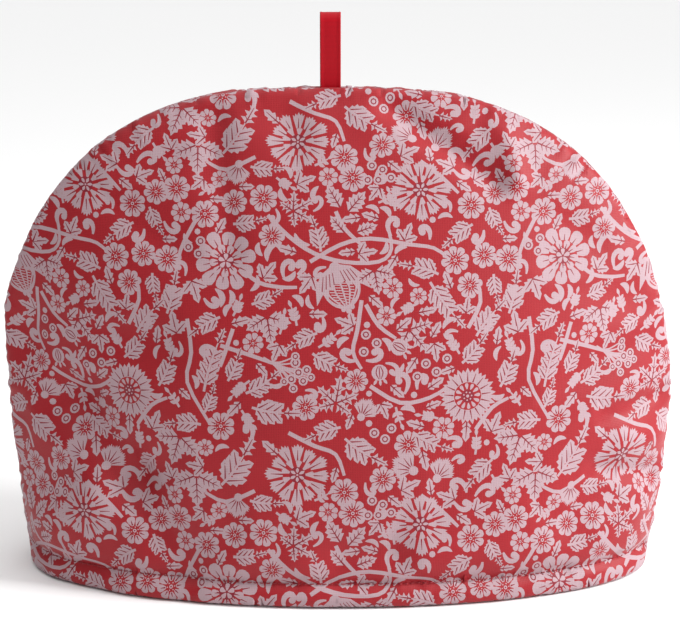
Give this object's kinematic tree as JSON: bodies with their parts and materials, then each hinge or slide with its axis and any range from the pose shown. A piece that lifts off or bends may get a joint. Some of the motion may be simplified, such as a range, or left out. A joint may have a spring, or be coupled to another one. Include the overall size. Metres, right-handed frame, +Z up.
{
  "type": "tea cosy",
  "caption": "Padded dome tea cosy in floral printed cotton: front and back panels seamed over the top, stitched hem, ribbon loop at the crown",
  "frame": {"origin": "centre of the bounding box in plan, on the surface the hem stands on", "axes": "+X runs to the right across the widest way as seen from the front, +Y goes from the front panel through to the back panel, +Z is up"},
  "size_m": [0.3309, 0.1412, 0.2757],
  "materials": {
    "printed_cotton_front": "printed cotton over wadding, slight sheen",
    "printed_cotton_back": "printed cotton over wadding, slight sheen",
    "woven_ribbon": "woven satin ribbon"
  },
  "bodies": {
    "root": {"front_panel": "printed_cotton_front", "back_panel": "printed_cotton_back", "hanging_loop": "woven_ribbon"}
  },
  "joints": []
}
